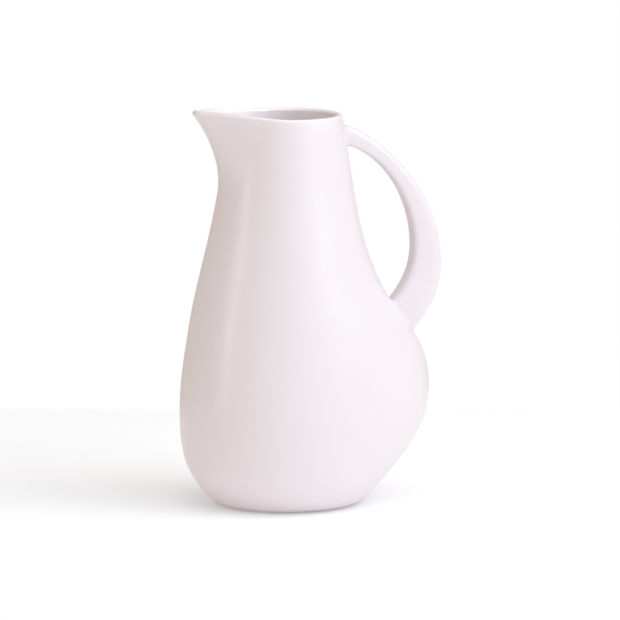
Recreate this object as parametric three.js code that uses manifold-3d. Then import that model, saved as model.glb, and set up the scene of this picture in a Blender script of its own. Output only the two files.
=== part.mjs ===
// A ceramic pitcher: a slip-cast vessel with a pulled spout towards -X, a bare foot ring under it,
// and a solid crescent handle towards +X, stuck on with two thin layers of slip.
// The axis of the neck is x = y = 0 while the pieces are made, and the table is z = 0.
import * as THREE from "three";
import { mergeVertices } from "three/addons/utils/BufferGeometryUtils.js";
import Module from "manifold-3d";

// ---- Sizes, in mm ------------------------------------------------------------------------
const HEIGHT = 254.5; // table to the top of the lip, away from the spout
const RIM_RADIUS = 36.5; // outside of the neck at the lip
const BELLY_RADIUS = 69.5; // outside of the belly, to the front and to each side
const BACK_BULGE = 28; // how much further the belly swells towards the handle
const BASE_RADIUS = 47.5; // where the underside turns up into the wall
const BASE_TURN = 4; // how softly it turns

const WALL = 4.3; // thickness of the wall
const FLOOR = 5.6; // thickness of the floor
const LIP = 3.8; // thickness at the lip, which is a half round
const LIP_TAPER = 1 / 6; // share of the way up the wall over which it thins to the lip
const FLOOR_TAPER = 1 / 7; // share over which it thins from the floor's thickness

const SPOUT_REACH = 61.5; // neck axis to the tip of the spout
const SPOUT_DEPTH = 52; // height over which the spout swells out of the neck
const SPOUT_SWEEP = 2; // power of its flare: 1 is a straight cone, more curls out nearer the lip
const SPOUT_TIP = 8; // radius of the tip seen from above
const SPOUT_START = 7.3; // distance from the axis where the lip starts to climb towards the tip
const SPOUT_RISE = 3.7; // how much it climbs
const TIP_DROOP = 1.2; // how much it drops again right at the tip
const DROOP_POWER = 12; // how close to the tip the drop stays

const FOOT_HEIGHT = 0.7;
const FOOT_INSET = 9; // from the turn of the base in to the foot ring
const FOOT_WIDTH = 6;
const FOOT_CHAMFER = 0.2;

const HANDLE_DROP = 14.5; // from the lip down to where the middle of the handle leaves the neck
const HANDLE_BOTTOM = 121; // height where it meets the belly again
const HANDLE_BOW = 43.5; // how far its outer edge bows out from the line between the two
const HANDLE_THIN = 13; // width across the handle at the neck
const HANDLE_WIDE = 17; // width across the handle at the belly
const WIDENING = 0.625; // share of the way down at which it has its full width
const GRIP_SQUARENESS = 6; // power of its rounded section on the fingers' side: 2 is an ellipse
const OUTER_SQUARENESS = 3; // and on the outer side
const UPPER_FILLET = 2.5; // radius of the slip drawn round each root
const LOWER_FILLET = 2;

const SLIP = 1.5; // thickness of the slip between the wall and the handle
const GAP = 0.3; // clearance between two pieces that touch

// ---- Shape of the vessel -----------------------------------------------------------------
const UNDERSIDE = FOOT_HEIGHT + GAP;
const RIM_EDGE = HEIGHT - LIP / 2; // where the half round starts
const BARELY = 1e-3; // a share of the spout's rise too small to shape it
const across = (share) => RIM_RADIUS + (BELLY_RADIUS - RIM_RADIUS) * share;

// Control rows of the wall, from the underside up: height, radius, extra reach at the back.
const WALL_ROWS = [
  [UNDERSIDE, BASE_RADIUS - BASE_TURN, 0.1 * BACK_BULGE],
  [UNDERSIDE, BASE_RADIUS, 0.08 * BACK_BULGE],
  [0.033 * HEIGHT, across(0.54), 0.1 * BACK_BULGE],
  [0.095 * HEIGHT, across(0.895), 0.18 * BACK_BULGE],
  [0.19 * HEIGHT, across(1), 0.78 * BACK_BULGE],
  [0.307 * HEIGHT, across(0.97), BACK_BULGE],
  [0.41 * HEIGHT, across(0.85), 0.93 * BACK_BULGE],
  [0.512 * HEIGHT, across(0.735), 0.27 * BACK_BULGE],
  [0.63 * HEIGHT, across(0.5), 0],
  [0.787 * HEIGHT, across(0.235), 0],
  [0.906 * HEIGHT, across(0.105), 0],
  [RIM_EDGE, RIM_RADIUS, 0],
];

// A clamped cubic B-spline through rows of numbers, at t from 0 to 1.
function spline(rows, t) {
  const spans = rows.length - 3;
  const knot = (i) => Math.min(Math.max(i - 3, 0), spans);
  const u = Math.min(Math.max(t, 0), 1) * spans;
  const k = Math.min(Math.floor(u), spans - 1) + 3;
  const d = rows.slice(k - 3, k + 1).map((row) => [...row]);
  for (let r = 1; r <= 3; r++) {
    for (let j = 3; j >= r; j--) {
      const low = knot(j + k - 3);
      const w = (u - low) / (knot(j + 1 + k - r) - low);
      d[j] = d[j].map((value, i) => (1 - w) * d[j - 1][i] + w * value);
    }
  }
  return d[3];
}

// Distance from the neck axis to the spout's plan at angle a from -X: the smallest loop round
// the neck's circle and the tip's circle, whose centre is offset from the axis.
function spoutPlan(a, radius, tip, offset) {
  const turn = Math.acos((radius - tip) / offset);
  const end = Math.atan2(tip * Math.sin(turn), offset + tip * Math.cos(turn));
  if (a < end) return offset * Math.cos(a) + Math.sqrt(tip ** 2 - (offset * Math.sin(a)) ** 2);
  return a < turn ? radius / Math.cos(turn - a) : radius;
}

// The outside of the wall: phi goes round from the handle's side, v goes up from the underside.
function outside(phi, v) {
  const [z, radius, bulge] = spline(WALL_ROWS, v);
  const x = bulge / 4 + (radius + bulge / 2) * Math.cos(phi) + (bulge / 4) * Math.cos(2 * phi);
  const y = radius * Math.sin(phi);
  const point = new THREE.Vector3(x, y, z);
  const rise = 1 - (RIM_EDGE - z) / SPOUT_DEPTH;
  if (rise <= BARELY) return point;
  const angle = Math.acos(-Math.cos(phi));
  const tip = radius - (radius - SPOUT_TIP) * rise;
  const offset = radius - tip + (SPOUT_REACH - RIM_RADIUS) * rise ** SPOUT_SWEEP;
  const pull = spoutPlan(angle, radius, tip, offset) / radius;
  point.set(x * pull, y * pull, z);
  const along = Math.max(0, (-point.x - SPOUT_START) / (SPOUT_REACH - SPOUT_START));
  point.z += (SPOUT_RISE * along - TIP_DROOP * along ** DROOP_POWER) * rise ** 2;
  return point;
}

// Outward normal of the wall and its upward direction.
function frame(phi, v) {
  const h = 1e-4;
  const low = Math.max(v - h, 0);
  const high = Math.min(v + h, 1);
  const up = outside(phi, high).sub(outside(phi, low)).normalize();
  const round = outside(phi + h, v).sub(outside(phi - h, v));
  return { normal: round.cross(up).normalize(), up };
}
const offsetWall = (phi, v, by) => outside(phi, v).addScaledVector(frame(phi, v).normal, by);

// ---- Closed surfaces ---------------------------------------------------------------------
// A surface through rings of points, closed by a single point at each end.
function closed(rings, first, last) {
  const count = rings[0].length;
  const points = [first, ...rings.flat(), last].flatMap((p) => [p.x, p.y, p.z]);
  const at = (i, j) => 1 + i * count + (j % count);
  const end = 1 + rings.length * count;
  const faces = [];
  for (let j = 0; j < count; j++) {
    faces.push(0, at(0, j + 1), at(0, j));
    faces.push(at(rings.length - 1, j), at(rings.length - 1, j + 1), end);
    for (let i = 0; i + 1 < rings.length; i++) {
      faces.push(at(i, j), at(i, j + 1), at(i + 1, j + 1));
      faces.push(at(i, j), at(i + 1, j + 1), at(i + 1, j));
    }
  }
  const geometry = new THREE.BufferGeometry();
  geometry.setAttribute("position", new THREE.Float32BufferAttribute(points, 3));
  geometry.setIndex(faces);
  return geometry;
}

const steps = (count, f) => Array.from({ length: count }, (_, i) => f(i));
const centre = (z, x = 0) => new THREE.Vector3(x, 0, z);

// Angles round the vessel, closer together at the spout and at the handle.
const ROUND = 64;
const ROUND_BUNCHING = 0.24;
const RISE_BUNCHING = 0.09;
const FULL_TURN = 2 * Math.PI;
const angles = steps(ROUND, (i) => {
  const turn = (FULL_TURN * i) / ROUND;
  return turn - ROUND_BUNCHING * Math.sin(2 * turn);
});
const ring = (f) => angles.map(f);
// Heights up the wall, closer together at the base and in the spout.
const level = (u) => u - RISE_BUNCHING * Math.sin(FULL_TURN * u);

// ---- Vessel ------------------------------------------------------------------------------
// Thickness up the wall: the floor's at the bottom, then the wall's, then thinning to the lip.
const thickness = (v) => LIP + (WALL - LIP) * Math.min(1, (1 - v) / LIP_TAPER)
  + (FLOOR - WALL) * Math.max(0, 1 - v / FLOOR_TAPER);

function vesselGeometry() {
  const outer = 32; // rings up the outside
  const inner = 22; // rings down the inside
  const round = 5; // steps over the half round of the lip
  const rings = [];
  for (const share of [0.5, 0.92]) {
    rings.push(ring((phi) => outside(phi, 0).lerp(centre(UNDERSIDE), 1 - share)));
  }
  for (let i = 0; i <= outer; i++) rings.push(ring((phi) => outside(phi, level(i / outer))));
  for (let i = 1; i < round; i++) {
    const turn = (Math.PI * i) / round;
    rings.push(ring((phi) => {
      const { normal, up } = frame(phi, 1);
      return outside(phi, 1)
        .addScaledVector(normal, (LIP / 2) * (Math.cos(turn) - 1))
        .addScaledVector(up, (LIP / 2) * Math.sin(turn));
    }));
  }
  for (let i = inner; i >= 0; i--) {
    const v = level(i / inner);
    rings.push(ring((phi) => offsetWall(phi, v, -thickness(v))));
  }
  const floor = centre(UNDERSIDE + FLOOR);
  rings.push(ring((phi) => offsetWall(phi, 0, -FLOOR).lerp(floor, 0.5)));
  return closed(rings, centre(UNDERSIDE), floor);
}

// ---- Foot ring ---------------------------------------------------------------------------
function footGeometry() {
  const outer = BASE_RADIUS - FOOT_INSET;
  const inner = outer - FOOT_WIDTH;
  const section = [
    [inner, FOOT_HEIGHT],
    [inner, FOOT_CHAMFER],
    [inner + FOOT_CHAMFER, 0],
    [outer - FOOT_CHAMFER, 0],
    [outer, FOOT_CHAMFER],
    [outer, FOOT_HEIGHT],
    [inner, FOOT_HEIGHT],
  ];
  const lathe = new THREE.LatheGeometry(section.map(([r, z]) => new THREE.Vector2(r, z)), 64);
  return lathe.rotateX(Math.PI / 2);
}

// ---- Handle ------------------------------------------------------------------------------
// The wall's v at a height, and the reach of its back there.
function wallAt(z) {
  let low = 0;
  let high = 1;
  for (let i = 0; i < 40; i++) {
    const middle = (low + high) / 2;
    if (spline(WALL_ROWS, middle)[0] < z) low = middle;
    else high = middle;
  }
  return low;
}
const upperRoot = outside(0, wallAt(HEIGHT - HANDLE_DROP));
const lowerRoot = outside(0, wallAt(HANDLE_BOTTOM));
const chord = lowerRoot.clone().sub(upperRoot);
const bow = new THREE.Vector3(-chord.z, 0, chord.x).normalize();
const besideChord = ([along, out]) =>
  upperRoot.clone().addScaledVector(chord, along).addScaledVector(bow, out * HANDLE_BOW).toArray();

// Control points of the handle's two edges: share of the way down, bow as a share of the largest.
const OUTER_EDGE = [
  [-0.08, -0.23], [-0.07, 0.115], [0.18, 0.67], [0.525, 1], [0.965, 0.815], [1.1, 0.125], [1.165, -0.215],
].map(besideChord);
const INNER_EDGE = [
  [0.015, -0.32], [0.035, -0.02], [0.19, 0.445], [0.48, 0.64], [0.805, 0.45], [0.915, -0.06], [0.965, -0.33],
].map(besideChord);

// Height of a point above the wall's outside, near the handle's roots. A point further to the side
// than WIDEST of the wall's radius is measured from there.
const WIDEST = 0.9;
function aboveWall(point) {
  const v = wallAt(point.z);
  const radius = spline(WALL_ROWS, v)[1];
  const phi = Math.asin(Math.min(WIDEST, Math.max(-WIDEST, point.y / radius)));
  return point.clone().sub(outside(phi, v)).dot(frame(phi, v).normal);
}

// Growth of the handle's section close to the wall, which draws the concave slip round the root.
function flare(point, radius) {
  const d = Math.min(Math.max(aboveWall(point), 0), radius);
  return radius - Math.sqrt(d * (2 * radius - d));
}

function handleSweep() {
  const along = 46; // sections from root to root
  const round = 24; // corners in each section
  const rings = steps(along, (i) => {
    const s = level(i / (along - 1));
    const inner = new THREE.Vector3(...spline(INNER_EDGE, s));
    const outer = new THREE.Vector3(...spline(OUTER_EDGE, s));
    const middle = inner.clone().lerp(outer, 0.5);
    const half = outer.distanceTo(inner) / 2;
    const outward = outer.sub(inner).normalize();
    const wide = (HANDLE_THIN + (HANDLE_WIDE - HANDLE_THIN) * Math.min(1, s / WIDENING)) / 2;
    const fillet = s < 0.5 ? UPPER_FILLET : LOWER_FILLET;
    return steps(round, (j) => {
      const turn = (FULL_TURN * j) / round;
      const power = Math.cos(turn) < 0 ? GRIP_SQUARENESS : OUTER_SQUARENESS;
      const reach = (Math.abs(Math.cos(turn) / half) ** power
        + Math.abs(Math.sin(turn) / wide) ** power) ** (-1 / power);
      const way = outward.clone().multiplyScalar(Math.cos(turn));
      way.y -= Math.sin(turn);
      const point = middle.clone().addScaledVector(way, reach);
      return point.addScaledVector(way, flare(point, fillet));
    });
  });
  const middleOf = (points) => {
    const sum = points.reduce((total, p) => total.add(p), new THREE.Vector3());
    return sum.divideScalar(points.length);
  };
  return closed(rings, middleOf(rings[0]), middleOf(rings[along - 1]));
}

// The vessel filled in and grown by an offset, for cutting the pieces that sit against it.
function filledVessel(by) {
  const rows = 52;
  const rings = steps(rows + 1, (i) => ring((phi) => offsetWall(phi, level(i / rows), by)));
  rings.push(rings[rows].map((p) => p.clone().add(centre(LIP))));
  return closed(rings, centre(UNDERSIDE - by), centre(RIM_EDGE + LIP));
}

const wasm = await Module();
wasm.setup();
function toSolid(geometry) {
  const merged = mergeVertices(geometry, 1e-4);
  const mesh = new wasm.Mesh({
    numProp: 3,
    vertProperties: merged.attributes.position.array,
    triVerts: new Uint32Array(merged.index.array),
  });
  return new wasm.Manifold(mesh);
}
function toGeometry(solid) {
  const { vertProperties, triVerts } = solid.getMesh();
  const geometry = new THREE.BufferGeometry();
  geometry.setAttribute("position", new THREE.BufferAttribute(vertProperties, 3));
  geometry.setIndex(new THREE.BufferAttribute(triVerts, 1));
  return geometry;
}

const sweep = toSolid(handleSweep());
const handle = sweep.subtract(toSolid(filledVessel(GAP + SLIP + GAP)));
const layers = sweep
  .intersect(toSolid(filledVessel(GAP + SLIP)))
  .subtract(toSolid(filledVessel(GAP)))
  .decompose()
  .sort((a, b) => b.boundingBox().max[2] - a.boundingBox().max[2]);

// ---- Assembly ----------------------------------------------------------------------------
const glaze = (color) => new THREE.MeshStandardMaterial({ color, roughness: 0.4, metalness: 0 });
const clay = (color) => new THREE.MeshStandardMaterial({ color, roughness: 0.9, metalness: 0 });

const part = new THREE.Group();
part.name = "ceramic_pitcher";
function add(name, geometry, material) {
  const mesh = new THREE.Mesh(geometry, material);
  mesh.name = name;
  geometry.computeVertexNormals();
  part.add(mesh);
}
add("vessel_body", vesselGeometry(), glaze(0xf2ecee));
add("foot_ring", footGeometry(), clay(0xd9cbb8));
add("handle", toGeometry(handle), glaze(0xf1ebed));
add("upper_luting_joint", toGeometry(layers[0]), glaze(0xece5e5));
add("lower_luting_joint", toGeometry(layers[1]), glaze(0xebe4e4));

// The origin is the middle of the bounding box, on the table.
const box = new THREE.Box3().setFromObject(part);
for (const mesh of part.children) {
  mesh.geometry.translate(-(box.min.x + box.max.x) / 2, 0, -box.min.z);
}

export default part;
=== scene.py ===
# %% [markdown]
# # A white ceramic pitcher, one surface at a time
# The real pitcher is stoneware cast in a plaster mould. Its spout is part of the casting, its solid
# handle is stuck on with wet clay slip, and everything but the foot ring is dipped in a satin white
# glaze. Such a smooth form could be sculpted or subdivided from a coarse cage. Here every surface is
# a formula worked out on a grid with numpy instead, because then the wall, the lip, the handle and
# the slip all follow the same few sizes and meet exactly.

# %% Load the frame
import bpy
import numpy as np
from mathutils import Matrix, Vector


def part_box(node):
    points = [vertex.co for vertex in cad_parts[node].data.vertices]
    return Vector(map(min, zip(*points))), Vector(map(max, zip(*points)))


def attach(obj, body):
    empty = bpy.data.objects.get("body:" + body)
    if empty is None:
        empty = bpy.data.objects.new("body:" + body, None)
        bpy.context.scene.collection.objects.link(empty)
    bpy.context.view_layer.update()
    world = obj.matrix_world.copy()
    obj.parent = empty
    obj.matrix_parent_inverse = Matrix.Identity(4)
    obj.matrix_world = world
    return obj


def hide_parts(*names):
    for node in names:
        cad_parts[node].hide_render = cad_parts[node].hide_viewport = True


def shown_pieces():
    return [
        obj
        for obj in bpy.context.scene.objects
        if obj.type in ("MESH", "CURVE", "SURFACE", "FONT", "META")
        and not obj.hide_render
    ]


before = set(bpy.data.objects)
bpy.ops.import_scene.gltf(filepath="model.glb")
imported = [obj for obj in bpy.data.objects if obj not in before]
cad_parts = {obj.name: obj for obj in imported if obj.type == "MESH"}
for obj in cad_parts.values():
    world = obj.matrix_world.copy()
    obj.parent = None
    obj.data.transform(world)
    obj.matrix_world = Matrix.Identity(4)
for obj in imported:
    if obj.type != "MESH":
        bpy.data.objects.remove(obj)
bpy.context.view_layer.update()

# %% [markdown]
# ## Sizes
# The pieces are drawn round the neck's axis, which is also the middle of the foot ring, so the
# frame's foot ring says where that axis stands. The other sizes are the ones the potter's drawing
# would give, in metres like everything else in the scene.

# %% Sizes
MM = 0.001
foot_low, foot_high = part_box("foot_ring")
AXIS = np.array([(foot_low.x + foot_high.x) / 2, 0.0, foot_low.z])

HEIGHT = 254.5 * MM
RIM_RADIUS = 36.5 * MM
BELLY_RADIUS = 69.5 * MM
BACK_BULGE = 28 * MM
BASE_RADIUS = 47.5 * MM
BASE_TURN = 4 * MM

WALL = 4.3 * MM
FLOOR = 5.6 * MM
LIP = 3.8 * MM
LIP_TAPER = 1 / 6
FLOOR_TAPER = 1 / 7

SPOUT_REACH = 61.5 * MM
SPOUT_DEPTH = 52 * MM
SPOUT_SWEEP = 2
SPOUT_TIP = 8 * MM
SPOUT_START = 7.3 * MM
SPOUT_RISE = 3.7 * MM
TIP_DROOP = 1.2 * MM
DROOP_POWER = 12

FOOT_HEIGHT = foot_high.z - foot_low.z
FOOT_RADIUS = (foot_high.x - foot_low.x) / 2
FOOT_WIDTH = 6 * MM
GAP = 0.3 * MM

UNDERSIDE = FOOT_HEIGHT + GAP
RIM_EDGE = HEIGHT - LIP / 2
print(f"neck axis at x = {AXIS[0] / MM:.2f} mm, foot ring radius {FOOT_RADIUS / MM:.2f} mm")

# %% [markdown]
# ## A curve through a few rows of numbers
# The wall and the handle are both steered by short lists of control rows, the way a draughtsman
# bends a flexible ruler with a few weights. A Blender curve could hold them, but a spline written
# out in numpy takes a whole grid of parameters in one call and leaves nothing to convert.


# %% Spline
def spline(rows, t):
    """Clamped cubic B-spline at t from 0 to 1.

    De Boor's rule: of the four control rows nearest t, neighbours are averaged three times over,
    each time weighted by how far t has come between the knots on either side.
    """
    rows = np.asarray(rows, float)
    spans = len(rows) - 3
    knots = np.clip(np.arange(len(rows) + 4) - 3, 0, spans)
    u = np.clip(t, 0, 1) * spans
    k = np.minimum(u.astype(int), spans - 1) + 3
    d = [rows[k - 3 + j] for j in range(4)]
    for r in (1, 2, 3):
        for j in range(3, r - 1, -1):
            low = knots[j + k - 3]
            weight = ((u - low) / (knots[j + 1 + k - r] - low))[..., None]
            d[j] = (1 - weight) * d[j - 1] + weight * d[j]
    return d[3]


ease = spline([[0.0], [0.0], [1.0], [1.0]], np.linspace(0, 1, 5))[:, 0]
print("a spline eased from 0 to 1, at quarter steps:", ease.round(3).tolist())


# %% [markdown]
# ## The wall
# A potter would throw this belly round and then push it out towards the handle. So the plan of the
# wall is a circle plus one soft lobe at the back, and near the lip the circle is wrapped together
# with the small circle of the spout's tip, like a string pulled tight round both. Modelling the
# spout as part of the same function means there is no join to hide.


# %% Control rows
def across(share):
    """Radius that lies a share of the way from the rim's radius to the belly's."""
    return RIM_RADIUS + (BELLY_RADIUS - RIM_RADIUS) * share


# Height, radius, and extra reach at the back, from the underside to the lip.
WALL_ROWS = [
    [UNDERSIDE, BASE_RADIUS - BASE_TURN, 0.1 * BACK_BULGE],
    [UNDERSIDE, BASE_RADIUS, 0.08 * BACK_BULGE],
    [0.033 * HEIGHT, across(0.54), 0.1 * BACK_BULGE],
    [0.095 * HEIGHT, across(0.895), 0.18 * BACK_BULGE],
    [0.19 * HEIGHT, across(1), 0.78 * BACK_BULGE],
    [0.307 * HEIGHT, across(0.97), BACK_BULGE],
    [0.41 * HEIGHT, across(0.85), 0.93 * BACK_BULGE],
    [0.512 * HEIGHT, across(0.735), 0.27 * BACK_BULGE],
    [0.63 * HEIGHT, across(0.5), 0],
    [0.787 * HEIGHT, across(0.235), 0],
    [0.906 * HEIGHT, across(0.105), 0],
    [RIM_EDGE, RIM_RADIUS, 0],
]
print(f"{len(WALL_ROWS)} rows steer the wall, from {UNDERSIDE / MM:.1f} to {RIM_EDGE / MM:.1f} mm up")


# %% String
def string_round(angle, radius, tip, offset):
    """Distance from the neck's axis to a string pulled tight round two circles.

    Up to the angle where the string leaves the tip's circle it follows that circle, then it runs
    straight, at radius / cos of the angle still to go, and after that it lies on the neck.
    """
    turn = np.arccos((radius - tip) / offset)
    end = np.arctan2(tip * np.sin(turn), offset + tip * np.cos(turn))
    on_tip = offset * np.cos(angle) + np.sqrt(np.maximum(tip**2 - (offset * np.sin(angle)) ** 2, 0))
    straight = radius / np.cos(np.clip(turn - angle, 0, turn))
    return np.where(angle < end, on_tip, np.where(angle < turn, straight, radius))


reach = string_round(np.zeros(1), RIM_RADIUS, SPOUT_TIP, SPOUT_REACH - SPOUT_TIP)
print(f"at the lip the string reaches out to {reach[0] / MM:.1f} mm")

# %% Wall
BARELY = 1e-3  # below this share of its rise the spout is left out


def outside(phi, v):
    """Point on the wall's outside: phi goes round from the handle, v climbs from 0 to 1.

    x = bulge/4 + (radius + bulge/2) cos phi + (bulge/4) cos 2 phi and y = radius sin phi, then both
    are stretched to the string round neck and tip. The lip climbs a little along the spout, and
    right at the tip it droops again by a high power of the way along.
    """
    z, radius, bulge = np.moveaxis(spline(WALL_ROWS, v), -1, 0)
    x = bulge / 4 + (radius + bulge / 2) * np.cos(phi) + (bulge / 4) * np.cos(2 * phi)
    y = radius * np.sin(phi)
    rise = np.clip(1 - (RIM_EDGE - z) / SPOUT_DEPTH, BARELY, 1)
    tip = radius - (radius - SPOUT_TIP) * rise
    offset = radius - tip + (SPOUT_REACH - RIM_RADIUS) * rise**SPOUT_SWEEP
    pull = string_round(np.arccos(np.clip(-np.cos(phi), -1, 1)), radius, tip, offset) / radius
    pull = np.where(rise > BARELY, pull, 1)
    x, y = x * pull, y * pull
    along = np.maximum(0, (-x - SPOUT_START) / (SPOUT_REACH - SPOUT_START))
    z = z + (SPOUT_RISE * along - TIP_DROOP * along**DROOP_POWER) * rise**2
    return np.stack([x, y, z], -1)


def unit(vectors):
    """The same directions, each with length 1."""
    return vectors / np.linalg.norm(vectors, axis=-1, keepdims=True)


def wall_frame(phi, v, step=1e-4):
    """Outward normal of the wall and its upward direction, from small steps round and up."""
    low, high = np.maximum(v - step, 0), np.minimum(v + step, 1)
    up = unit(outside(phi, high) - outside(phi, low))
    around = outside(phi + step, v) - outside(phi - step, v)
    return unit(np.cross(around, up)), up


tip, back = outside(np.array([np.pi, 0]), np.ones(2))
print(f"the lip runs from {tip[0] / MM:.1f} mm at the spout to {back[0] / MM:.1f} mm at the handle")


# %% [markdown]
# ## From a grid of points to a mesh
# A grid of points becomes a skin by joining each point to the next in its row and column. The same
# short function makes every piece: rings of points whose columns join up, closed either by a pole at
# each end, as on a vase, or by running the last ring back into the first, as on a ring doughnut. The
# volume inside is a sum over the faces, and where it comes out negative they point in and are turned.


# %% Skin
def skin(name, rings, poles=None, **marks):
    """A closed mesh through rings[row, column]; marks are values stored at each point.

    Each triangle a, b, c stands on a pyramid from the origin, and the volume is the sum of
    a . (b x c) / 6 over all of them.
    """
    rows, columns = rings.shape[:2]
    row, column = np.meshgrid(np.arange(rows - (poles is not None)), np.arange(columns), indexing="ij")
    after, beside = (row + 1) % rows, (column + 1) % columns
    near = [row * columns + column, row * columns + beside]
    far = [after * columns + beside, after * columns + column]
    quads = np.stack(near + far, -1).reshape(-1, 4)
    fans = np.empty((0, 3), int)
    points = rings.reshape(-1, 3)
    if poles is not None:
        here, there = np.arange(columns), (np.arange(columns) + 1) % columns
        last = (rows - 1) * columns
        bottom = np.full(columns, rows * columns)
        first_fan = np.stack([bottom, there, here], -1)
        last_fan = np.stack([last + here, last + there, bottom + 1], -1)
        fans = np.vstack([first_fan, last_fan])
        points = np.vstack([points, poles])
    mesh = bpy.data.meshes.new(name)
    mesh.from_pydata(points + AXIS, [], quads.tolist() + fans.tolist())
    mesh.polygons.foreach_set("use_smooth", np.ones(len(mesh.polygons), bool))
    for mark, values in marks.items():
        values = np.broadcast_to(values, rings.shape[:2]).ravel()
        if poles is not None:
            values = np.append(values, [values[0], values[-1]])
        mesh.attributes.new(mark, "FLOAT", "POINT").data.foreach_set("value", values.astype(np.float32))
    triangles = np.vstack([quads[:, :3], quads[:, [0, 2, 3]], fans])
    a, b, c = (points[index] for index in triangles.T)
    volume = (a * np.cross(b, c)).sum() / 6
    if volume < 0:
        mesh.flip_normals()
    mesh.validate()
    piece = bpy.data.objects.new(name, mesh)
    bpy.context.scene.collection.objects.link(piece)
    print(f"{name}: {len(mesh.polygons)} faces round {abs(volume) / (10 * MM) ** 3:.1f} cm3 of clay")
    return piece


# %% Placing
def place(piece, node, slot):
    """The piece stands for its CAD node and rides with the body; the slot it is given is not used."""
    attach(piece, "root")
    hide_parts(node)
    low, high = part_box(node)
    corners = np.array([vertex.co for vertex in piece.data.vertices])
    proud = np.maximum(np.array(low) - corners.min(0), corners.max(0) - np.array(high)).max()
    print(f"{node} is stood for, and the piece is at most {proud / MM:.2f} mm proud of its box")


# %% [markdown]
# ## The vessel
# The casting is one skin: across the underside, up the outside, over the half-round lip, down the
# inside, which runs parallel to the outside, and across the floor. A Solidify modifier could make the
# inner wall, but the wall of real ware is thicker at the floor and finer at the lip, so its thickness
# is a function too. No hand-finished wall is perfectly true either: a sponge leaves it a tenth of a
# millimetre uneven, which is what makes a highlight waver. Two marks go with the points, for the glaze
# to read later: how near the crest of the lip a point is, and whether it is inside.


# %% Vessel wall
ROUND = 288
UP = 150
DOWN = 84
LIP_STEPS = 14
ROUND_BUNCHING = 0.24
RISE_BUNCHING = 0.09
# How far out the rings across the underside and the floor lie, as shares of the way to the wall.
UNDER_SHARES = np.array([0.35, 0.7, 0.93])[:, None, None]
FLOOR_SHARES = np.array([0.8, 0.5, 0.2])[:, None, None]

WAVER = 0.09 * MM
# Of each wave: its share, how many go round, radians for each metre up, and where it starts.
WAVES = ((1, 3, 31, 0), (0.6, 5, -47, 1), (0.5, 2, 83, 2))
CALM_BELOW_LIP = 30 * MM
CALM_ABOVE_TABLE = 20 * MM


def bunched(u):
    """Even steps u, drawn closer together at both ends: u less a sine of one full turn."""
    return u - RISE_BUNCHING * np.sin(2 * np.pi * u)


def thickness(v):
    """The floor's thickness at the bottom, then the wall's, thinning to the lip's near the top."""
    at_wall, at_floor = np.clip((1 - v) / LIP_TAPER, 0, 1), np.clip(1 - v / FLOOR_TAPER, 0, 1)
    return LIP + (WALL - LIP) * at_wall + (FLOOR - WALL) * at_floor


def waver(phi, z):
    """Sponged unevenness: a sum of slow sines round and up the wall, fading out at both ends."""
    waves = sum(share * np.sin(times * phi + climb * z + start) for share, times, climb, start in WAVES)
    calm = np.clip((RIM_EDGE - z) / CALM_BELOW_LIP, 0, 1) * np.clip(z / CALM_ABOVE_TABLE, 0, 1)
    return WAVER * waves * calm


even = 2 * np.pi * np.arange(ROUND) / ROUND
ROUND_ANGLES = (even - ROUND_BUNCHING * np.sin(2 * even))[None, :]  # closer at the handle and the spout
print("the wall at the floor, half way up and at the lip, mm:", thickness(np.array([0, 0.5, 1])) / MM)


# %% Vessel
def vessel_rings():
    """Every ring of the vessel from the middle of the underside round to the middle of the floor.

    The lip is half a circle of the lip's own thickness, from the outside over to the inside:
    top + r (normal (cos turn - 1) + up sin turn).
    """
    phi = ROUND_ANGLES
    edge = outside(phi, np.zeros(1)[:, None])
    centre = np.array([0, 0, UNDERSIDE])
    under = centre + (edge - centre) * UNDER_SHARES

    v = bunched(np.linspace(0, 1, UP + 1))[:, None]
    outer = outside(phi, v)
    outer = outer + wall_frame(phi, v)[0] * waver(phi, outer[..., 2])[..., None]

    top = outside(phi, np.ones(1)[:, None])
    normal, up = wall_frame(phi, np.ones(1)[:, None])
    turn = np.pi * np.arange(1, LIP_STEPS)[:, None, None] / LIP_STEPS
    lip = top + LIP / 2 * (normal * (np.cos(turn) - 1) + up * np.sin(turn))

    v = bunched(np.linspace(1, 0, DOWN + 1))[:, None]
    inner = outside(phi, v) - wall_frame(phi, v)[0] * thickness(v)[..., None]
    floor = np.array([0, 0, UNDERSIDE + FLOOR])
    across_floor = floor + (inner[-1] - floor) * FLOOR_SHARES
    return np.concatenate([under, outer, lip, inner, across_floor]), [centre, floor]


CREST_DEPTH = 2.2 * MM

rings, poles = vessel_rings()
crest = outside(ROUND_ANGLES, np.ones(1)[:, None])[..., 2] + LIP / 2
thin_at_lip = np.clip(1 - (crest - rings[..., 2]) / CREST_DEPTH, 0, 1)
rings_to_crest = len(UNDER_SHARES) + UP + 1 + LIP_STEPS // 2
inside = np.clip((np.arange(len(rings))[:, None] - rings_to_crest) / LIP_STEPS, 0, 1)
vessel = skin("glazed_vessel", rings, poles, thin=thin_at_lip, pool=0.0, inside=inside)
place(vessel, "vessel_body", "glazed_body")

# %% [markdown]
# ## The foot ring
# The pitcher stands on a low ring that was wiped clean of glaze, so that it wouldn't stick to the
# kiln shelf. It is turned, so it is a rounded profile carried round a circle, and it runs a little
# way up into the underside, as the same clay would. Its ground face is flat to a few hundredths.


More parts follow.
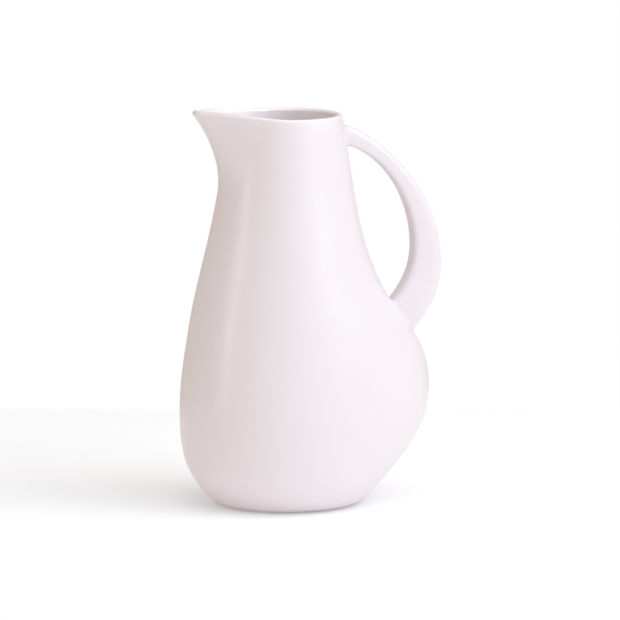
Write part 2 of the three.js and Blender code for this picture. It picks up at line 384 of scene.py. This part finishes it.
# %% Foot ring
def foot_rings(columns=192, rows=48, squareness=5):
    """A ring doughnut whose section is a rounded rectangle.

    The section is a superellipse, |x/a|^n + |z/b|^n = 1, with a high power n.
    """
    turn = 2 * np.pi * np.arange(rows)[:, None] / rows
    phi = 2 * np.pi * np.arange(columns)[None, :] / columns
    half_high = (UNDERSIDE + GAP) / 2
    size = (np.abs(np.cos(turn)) ** squareness + np.abs(np.sin(turn)) ** squareness) ** (-1 / squareness)
    radius = FOOT_RADIUS - FOOT_WIDTH / 2 * (1 - size * np.cos(turn))
    z = half_high * (1 + size * np.sin(turn))
    return np.stack(np.broadcast_arrays(radius * np.cos(phi), radius * np.sin(phi), z), -1)


foot = skin("bare_foot_ring", foot_rings())
place(foot, "foot_ring", "bare_clay")

# %% [markdown]
# ## The handle
# The handle is a solid crescent: flat on the side the fingers close round, fuller on the outside, and
# deepest half way down. It could be a curve with a bevel, but a bevel keeps one section all along.
# Two edge curves, an inner and an outer, say instead where the section starts and ends, and a
# rounded section is stretched between them. Both edges start and end inside the wall, and the handle
# is cut off where it has sunk a little below the wall's outside.

# %% Handle sizes
HANDLE_DROP = 14.5 * MM
HANDLE_BOTTOM = 121 * MM
HANDLE_BOW = 43.5 * MM
HANDLE_THIN = 13 * MM
HANDLE_WIDE = 17 * MM
WIDENING = 0.625  # share of its length in which it reaches its full width
GRIP_SQUARENESS = 6
OUTER_SQUARENESS = 3
UPPER_FILLET = 2.5 * MM
LOWER_FILLET = 2 * MM
SUNK = 1.2 * MM

TABLE_V = np.linspace(0, 1, 4001)
TABLE_Z = spline(WALL_ROWS, TABLE_V)[:, 0]


def wall_at(z):
    """The wall's v at a height, read back from a fine table of heights."""
    return np.interp(z, TABLE_Z, TABLE_V)


upper_root = outside(np.zeros(1), wall_at([HEIGHT - HANDLE_DROP]))[0]
lower_root = outside(np.zeros(1), wall_at([HANDLE_BOTTOM]))[0]
chord = lower_root - upper_root
bow = unit(np.array([-chord[2], 0, chord[0]]))


def beside_chord(rows):
    """Points a share of the way down from root to root, bowed out by a share of the largest bow."""
    along, out = np.array(rows).T
    return upper_root + along[:, None] * chord + out[:, None] * HANDLE_BOW * bow


OUTER_EDGE = beside_chord([
    [-0.08, -0.23], [-0.07, 0.115], [0.18, 0.67], [0.525, 1],
    [0.965, 0.815], [1.1, 0.125], [1.165, -0.215],
])
INNER_EDGE = beside_chord([
    [0.015, -0.32], [0.035, -0.02], [0.19, 0.445], [0.48, 0.64],
    [0.805, 0.45], [0.915, -0.06], [0.965, -0.33],
])
print("upper and lower root, mm:", np.round(upper_root / MM, 1), np.round(lower_root / MM, 1))


# %% Handle surface
WIDEST = 0.9  # a point further to the side, as a share of the wall's radius, is read as this far out
HALVINGS = 36


def handle_point(s, turn):
    """Point on the handle, s from root to root and turn round the section, and the way out there.

    The section is a superellipse between the two edge curves: its reach in each direction is
    (|cos/half|^n + |sin/wide|^n)^(-1/n), with a squarer power n on the fingers' side.
    """
    inner, outer = spline(INNER_EDGE, s), spline(OUTER_EDGE, s)
    half = np.linalg.norm(outer - inner, axis=-1) / 2
    outward = unit(outer - inner)
    wide = (HANDLE_THIN + (HANDLE_WIDE - HANDLE_THIN) * np.minimum(1, s / WIDENING)) / 2
    power = np.where(np.cos(turn) < 0, GRIP_SQUARENESS, OUTER_SQUARENESS)
    reach = (np.abs(np.cos(turn) / half) ** power + np.abs(np.sin(turn) / wide) ** power) ** (-1 / power)
    way = outward * np.cos(turn)[..., None] - np.array([0, 1, 0]) * np.sin(turn)[..., None]
    return (inner + outer) / 2 + way * reach[..., None], way


def above_wall(point):
    """Height of a point above the wall's outside, and the wall's normal under it."""
    v = wall_at(point[..., 2])
    radius = spline(WALL_ROWS, v)[..., 1]
    phi = np.arcsin(np.clip(point[..., 1] / radius, -WIDEST, WIDEST))
    normal = wall_frame(phi, v)[0]
    return np.einsum("...i,...i->...", point - outside(phi, v), normal), normal


def reach_height(turn, height, inside_at, clear_at):
    """Where along the handle it stands so high above the wall, by bisection in all columns at once."""
    turn, height = np.broadcast_arrays(turn, height)
    inside, clear = np.full(turn.shape, float(inside_at)), np.full(turn.shape, float(clear_at))
    for _ in range(HALVINGS):
        middle = (inside + clear) / 2
        too_low = above_wall(handle_point(middle, turn)[0])[0] < height
        inside, clear = np.where(too_low, middle, inside), np.where(too_low, clear, middle)
    return (inside + clear) / 2


depth = np.linalg.norm(spline(OUTER_EDGE, np.array([0.5])) - spline(INNER_EDGE, np.array([0.5])))
print(f"half way down the handle is {depth / MM:.1f} mm deep and {HANDLE_WIDE / MM:.0f} mm wide")

# %% Handle
AROUND = 96
ALONG = 200
UPPER = (0.0, 0.4)  # places along the handle inside the wall and clear of it
LOWER = (1.0, 0.6)

turn = 2 * np.pi * np.arange(AROUND)[None, :] / AROUND
start = reach_height(turn, -SUNK, *UPPER)
end = reach_height(turn, -SUNK, *LOWER)
share = np.linspace(0, 1, ALONG)[:, None]
handle_rings = handle_point(start + (end - start) * share, turn + 0 * share)[0]


def under_wall(ring):
    """A pole for a handle's end: below the middle of that ring, as deep in the wall as the ring."""
    middle = ring.mean(0)[None, :]
    height, normal = above_wall(middle)
    return (middle - normal * (height + SUNK)[:, None])[0]


ends = [under_wall(handle_rings[0]), under_wall(handle_rings[-1])]
handle = skin("glazed_handle", handle_rings, ends, thin=0.0, pool=0.0, inside=0.0)
place(handle, "handle", "glazed_handle")

# %% [markdown]
# ## The slip round the roots
# Wet slip squeezes out where a handle is pressed on, and a finger wipes it into a small concave
# fillet. A Bevel modifier can't round the crease between two separate meshes, so the fillet is its
# own thin collar: a quarter circle from the handle down to the wall, carried round the root, with its
# hidden side sunk in both.


# %% Slip collars
ARC_STEPS = 14
BELOW_WALL = 0.5 * SUNK
IN_HANDLE = 0.6 * SUNK


def collar_rings(fillet, side):
    """Rings of a collar: each is one height above the wall, at a distance out from the handle.

    On the quarter circle, height = f (1 - sin a) and distance = f (1 - cos a). Each point is then
    lifted or lowered to its own height, so that the collar's edge lies on the wall all round.
    """
    a = np.pi / 2 * np.linspace(0, 1, ARC_STEPS)
    height = np.concatenate([fillet * (1 - np.sin(a)), [-BELOW_WALL, -BELOW_WALL, fillet]])[:, None]
    distance = np.concatenate([fillet * (1 - np.cos(a)), [fillet, -IN_HANDLE, -IN_HANDLE]])[:, None]
    columns = turn + 0 * height
    point, way = handle_point(reach_height(columns, height, *side), columns)
    point = point + way * distance[..., None]
    real_height, normal = above_wall(point)
    return point + normal * (height - real_height)[..., None]


for name, node, fillet, side in (
    ("slip_at_neck", "upper_luting_joint", UPPER_FILLET, UPPER),
    ("slip_at_belly", "lower_luting_joint", LOWER_FILLET, LOWER),
):
    collar = skin(name, collar_rings(fillet, side), thin=0.0, pool=1.0, inside=0.0)
    place(collar, node, "glazed_slip")

# %% [markdown]
# ## Writing shaders as sums
# Node trees get hard to read when every small sum is three lines of wiring. A thin wrapper round a
# socket lets Python's own operators add the Math nodes, and one method adds every other kind of node.


# %% Shader wires
class Wire:
    """A socket in a material's node tree that can be added, multiplied and mixed."""

    def __init__(self, tree, socket=None):
        self.tree, self.socket = tree, socket

    def node(self, kind, settings=None, sockets=None, output=0):
        """Adds a node: its settings first, then a value or a link for each socket named."""
        made = self.tree.nodes.new("ShaderNode" + kind)
        for name, value in (settings or {}).items():
            setattr(made, name, value)
        for name, value in (sockets or {}).items():
            if isinstance(value, Wire):
                self.tree.links.new(value.socket, made.inputs[name])
            else:
                made.inputs[name].default_value = value
        return Wire(self.tree, made.outputs[output] if made.outputs else None)

    def maths(self, operation, first, second):
        return self.node("Math", {"operation": operation}, {0: first, 1: second})

    def __add__(self, other):
        return self.maths("ADD", self, other)

    def __sub__(self, other):
        return self.maths("SUBTRACT", self, other)

    def __rsub__(self, other):
        return self.maths("SUBTRACT", other, self)

    def __mul__(self, other):
        return self.maths("MULTIPLY", self, other)

    __radd__ = __add__
    __rmul__ = __mul__

    def between(self, low, high):
        """0 up to low, 1 from high on, and a smooth slope between them."""
        span = {"Value": self, "From Min": low, "From Max": high}
        return self.node("MapRange", {"interpolation_type": "SMOOTHSTEP"}, span)

    def blend(self, first, second):
        """One colour at 0 and the other at 1."""
        return self.node("Mix", {"data_type": "RGBA"}, {0: self, 6: first, 7: second}, output=2)

    def noise(self, scale, detail):
        """Smooth noise from 0 to 1 at so many cells a metre, in so many octaves."""
        place = self.node("TexCoord", output="Object")
        return self.node("TexNoise", {}, {"Vector": place, "Scale": scale, "Detail": detail})

    def mark(self, name):
        """A value stored on the piece's points."""
        return self.node("Attribute", {"attribute_name": name}, output="Fac")


def material(name, build):
    """A new material whose shader is what build(wire) returns."""
    made = bpy.data.materials.new(name)
    made.use_nodes = True
    made.node_tree.nodes.clear()
    wire = Wire(made.node_tree)
    wire.node("OutputMaterial", {}, {"Surface": build(wire)})
    print(name, "has", len(made.node_tree.nodes), "nodes")
    return made


# %% [markdown]
# ## The glaze
# A satin white glaze is never one flat white. It is a glassy skin a third of a millimetre thick over
# a warm body: where it runs thin, on the lip and just above the foot, the clay warms it, and where it
# pools, in the creases, it is a little greyer. Inside, the same glaze is painted a lighter white:
# painted light that brightens the shaded mouth. Fine crystals scatter its shine, and its skin has a
# faint dimpling. An image could be painted on, but noise in Object coordinates runs unbroken over
# vessel, slip and handle alike.

# %% Glaze
GLAZE = (0.84, 0.80, 0.845, 1)
GLAZE_WARM = (0.83, 0.785, 0.82, 1)
GLAZE_THIN = (0.76, 0.66, 0.62, 1)
GLAZE_POOLED = (0.80, 0.755, 0.79, 1)
# Painted light: a lighter white for the inside, standing in for light in the shaded mouth.
GLAZE_PAINTED_LIT_INSIDE = (0.93, 0.90, 0.92, 1)
BARE_UP_TO = 1.6 * MM
COVERED_FROM = 3.6 * MM
EDGE_WANDER = 1.2 * MM
DIMPLE_DEPTH = 0.2 * MM


def glaze(wire):
    """Satin glaze: mottled white, warmer where it is thin, painted lighter inside as painted light, with
    a dimpled skin.
    """
    cloud = wire.noise(14, 3).between(0.35, 0.65)
    base = (cloud * 0.5).blend(GLAZE, GLAZE_WARM)
    base = (wire.mark("pool") * 0.6).blend(base, GLAZE_POOLED)
    # Painted light: the inside is painted lighter to brighten the shaded mouth.
    base = wire.mark("inside").blend(base, GLAZE_PAINTED_LIT_INSIDE)
    height = wire.node("SeparateXYZ", {}, {0: wire.node("TexCoord", output="Object")}, output="Z")
    near_foot = 1 - (height + wire.noise(60, 1) * EDGE_WANDER).between(BARE_UP_TO, COVERED_FROM)
    crest = (wire.mark("thin") + wire.noise(90, 2) * 0.3 - 0.15).between(0.35, 1.1)
    base = (crest * 0.5).blend(base, GLAZE_THIN)
    base = near_foot.blend(base, GLAZE_THIN)
    satin = 0.29 + wire.noise(55, 4) * 0.06 + cloud * 0.02
    dimples = {"Strength": 0.1, "Distance": DIMPLE_DEPTH, "Height": wire.noise(300, 2)}
    bump = wire.node("Bump", {}, dimples)
    shader = {"Base Color": base, "Roughness": satin, "Normal": bump, "IOR": 1.5}
    return wire.node("BsdfPrincipled", {}, shader)


satin_white = material("satin_white_glaze", glaze)

# %% [markdown]
# ## The bare clay
# Fired stoneware with no glaze is buff, dry and gritty: fine grog gives it grain, and grinding the
# foot leaves faint rings. It could reuse the glaze with a rougher setting, but clay also needs dark
# and light grains and open pores, so it is a finish of its own.

# %% Clay
CLAY = (0.60, 0.49, 0.38, 1)
CLAY_LIGHT = (0.74, 0.65, 0.54, 1)
CLAY_GRAIN = (0.33, 0.25, 0.18, 1)
GRIT_DEPTH = 0.3 * MM


def clay(wire):
    """Dry buff clay: two tones, a scatter of darker grog, and a gritty bump."""
    tone = wire.noise(220, 4).between(0.3, 0.7).blend(CLAY, CLAY_LIGHT)
    grain = wire.noise(2600, 2)
    tone = grain.between(0.62, 0.75).blend(tone, CLAY_GRAIN)
    grit = grain * 0.5 + wire.noise(700, 3) * 0.5
    bump = wire.node("Bump", {}, {"Strength": 0.5, "Distance": GRIT_DEPTH, "Height": grit})
    rough = 0.82 + wire.noise(300, 2) * 0.12
    return wire.node("BsdfPrincipled", {}, {"Base Color": tone, "Roughness": rough, "Normal": bump})


bare_clay = material("bare_stoneware", clay)
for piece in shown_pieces():
    piece.data.materials.clear()
    piece.data.materials.append(bare_clay if piece.name == "bare_foot_ring" else satin_white)

# %% [markdown]
# ## The camera
# A long lens from four metres away keeps the pitcher's outline almost free of perspective, as in a
# shop's product picture. The camera looks slightly down, so the lip shows as a thin ellipse, and it
# stands a little round towards the spout.

# %% Camera
DISTANCE = 4.0
AZIMUTH = np.radians(15)
DOWNWARD = np.radians(8.6)
AIM_HEIGHT = 0.12615
LENS = 358
ASIDE = 0.0156

forward = Vector((
    np.sin(AZIMUTH) * np.cos(DOWNWARD),
    np.cos(AZIMUTH) * np.cos(DOWNWARD),
    -np.sin(DOWNWARD),
))
right = Vector((np.cos(AZIMUTH), -np.sin(AZIMUTH), 0))
aim = Vector(AXIS) + Vector((0, 0, AIM_HEIGHT)) + right * ASIDE
camera = bpy.data.objects.new("camera", bpy.data.cameras.new("camera"))
camera.data.lens = LENS
camera.location = aim - forward * DISTANCE
camera.rotation_euler = forward.to_track_quat("-Z", "Y").to_euler()
bpy.context.scene.collection.objects.link(camera)
bpy.context.scene.camera = camera
print("the camera stands at", [round(c, 3) for c in camera.location])

# %% [markdown]
# ## The studio
# The pitcher stands on a plain white table in a bright room. A wide soft light to the front right
# shapes it and throws a long faint shadow, and two soft boxes higher up keep its right side and its
# shoulder light. A narrow strip at the left draws the thin streak of shine down the neck. The room is a
# shade warmer and dimmer than the white backdrop that the camera sees, as in a studio where the
# backdrop has lamps of its own, and the table looks a little brighter than the light it gives.

# %% Table
TABLE_BACK = 0.36
TABLE_FRONT = 3.0
TABLE_SIDE = 4.0
TABLE_TONES = (0.87, 0.87, 0.87, 1), (0.89, 0.89, 0.89, 1)
TABLE_GLOW = (0.165, 0.157, 0.157, 1)
TABLE_SEEN = (0.18, 0.206, 0.236, 1)


def table(wire):
    """Pale matt board with the faintest grain, lit a little from below like a product table."""
    tone = wire.noise(25, 3).blend(*TABLE_TONES)
    seen = wire.node("LightPath", output="Is Camera Ray")
    glow = {"Emission Color": seen.blend(TABLE_GLOW, TABLE_SEEN), "Emission Strength": 1}
    return wire.node("BsdfPrincipled", {}, {"Base Color": tone, "Roughness": 0.7, **glow})


ahead = Vector((forward.x, forward.y, 0)).normalized()
corners = [
    tuple(right * side + ahead * deep)
    for side, deep in (
        (-TABLE_SIDE, -TABLE_FRONT), (TABLE_SIDE, -TABLE_FRONT),
        (TABLE_SIDE, TABLE_BACK), (-TABLE_SIDE, TABLE_BACK),
    )
]
board = bpy.data.meshes.new("table")
board.from_pydata(corners, [], [(0, 1, 2, 3)])
board.materials.append(material("pale_table", table))
floor = bpy.data.objects.new("table", board)
bpy.context.scene.collection.objects.link(floor)

# %% Hanging a lamp
MIDDLE = AXIS + np.array([0, 0, HEIGHT / 2])
MOUTH = AXIS + np.array([0, 0, HEIGHT])


def from_camera(round_to, up):
    """The direction that lies so many degrees round to the right of the camera, and so many up.

    With turn round and tilt up it is (-sin turn cos tilt, -cos turn cos tilt, sin tilt).
    """
    turn, tilt = AZIMUTH - np.radians(round_to), np.radians(up)
    return np.array([-np.sin(turn) * np.cos(tilt), -np.cos(turn) * np.cos(tilt), np.sin(tilt)])


def hang(lamp, at, way, away):
    """Hangs a lamp in that direction, so many metres away, pointing back at the place."""
    hung = bpy.data.objects.new(lamp.name, lamp)
    hung.location = at + way * away
    hung.rotation_euler = Vector(-way).to_track_quat("-Z", "Y").to_euler()
    bpy.context.scene.collection.objects.link(hung)
    print(f"{lamp.name}: {lamp.energy:.1f} W, {away} m away")
    return hung


# %% Soft boxes
BOX_DISTANCE = 2.4
WHITE = (1.0, 1.0, 1.0)


def soft_box(name, round_to, up, wide, tall, power, colour):
    """A rectangle of even light that faces the middle of the pitcher."""
    lamp = bpy.data.lights.new(name, "AREA")
    lamp.shape = "RECTANGLE"
    lamp.size, lamp.size_y, lamp.energy, lamp.color = wide, tall, power, colour
    return hang(lamp, MIDDLE, from_camera(round_to, up), BOX_DISTANCE)


# Name, degrees round and up from the camera, metres wide and tall, watts, and colour.
soft_box("window", 50, 28, 2.4, 2.0, 13.5, (0.61, 0.775, 1.0))
soft_box("window_core", 54, 24, 0.5, 1.6, 5, WHITE)
soft_box("high_right", 80, 50, 1.2, 1.2, 12, (0.92, 0.97, 1.0))
soft_box("high_top", 20, 78, 1.6, 1.6, 19, (0.74, 0.9, 1.0))
strip = soft_box("left_strip", -70, 17, 0.2, 1.9, 10.5, WHITE)
strip.visible_diffuse = False  # it is there for its shine alone

# %% [markdown]
# ## Light in the mouth
# A deep narrow vessel swallows light, and its mouth looks like a black hole. A brighter room would
# burn out the outside first. Studios put a snoot, a short tube, on a small lamp instead and send a beam
# narrower than the neck down into it, and the white glaze scatters it back up the walls. A second beam
# comes in over the rim from the right and lights the far side of the throat, towards the spout.

# %% Beams
SNOOT_RADIUS = 0.01
SOFT_EDGE = 0.8
SPOUT_SIDE = MOUTH - [9 * MM, 0, 0]


def narrow_beam(name, at, way, away, wide, power):
    """A lamp with a snoot, whose beam is only so many metres wide where it arrives.

    The full angle of its cone is 2 atan(wide / 2 / away).
    """
    lamp = bpy.data.lights.new(name, "SPOT")
    lamp.energy, lamp.shadow_soft_size = power, SNOOT_RADIUS
    lamp.spot_size, lamp.spot_blend = 2 * np.arctan(wide / 2 / away), SOFT_EDGE
    hang(lamp, at, way, away)


# Name, place lit, direction, metres away, metres wide there, and watts.
narrow_beam("into_the_neck", MOUTH, from_camera(0, 90), 0.5, 0.054, 90)
narrow_beam("across_the_mouth", SPOUT_SIDE, from_camera(62, 50), 0.7, 0.068, 12)

# %% Room
ROOM_LIGHT = (0.572, 0.482, 0.412, 1)
BACKDROP = (1, 1, 1, 1)

room = bpy.data.worlds.new("room")
bpy.context.scene.world = room
room.use_nodes = True
room.node_tree.nodes.clear()
sky = Wire(room.node_tree)
light = sky.node("LightPath", output="Is Camera Ray").blend(ROOM_LIGHT, BACKDROP)
sky.node("OutputWorld", {}, {"Surface": sky.node("Background", {}, {"Color": light})})
bpy.context.scene.view_settings.view_transform = "Standard"
print("the room has", len(room.node_tree.nodes), "nodes")
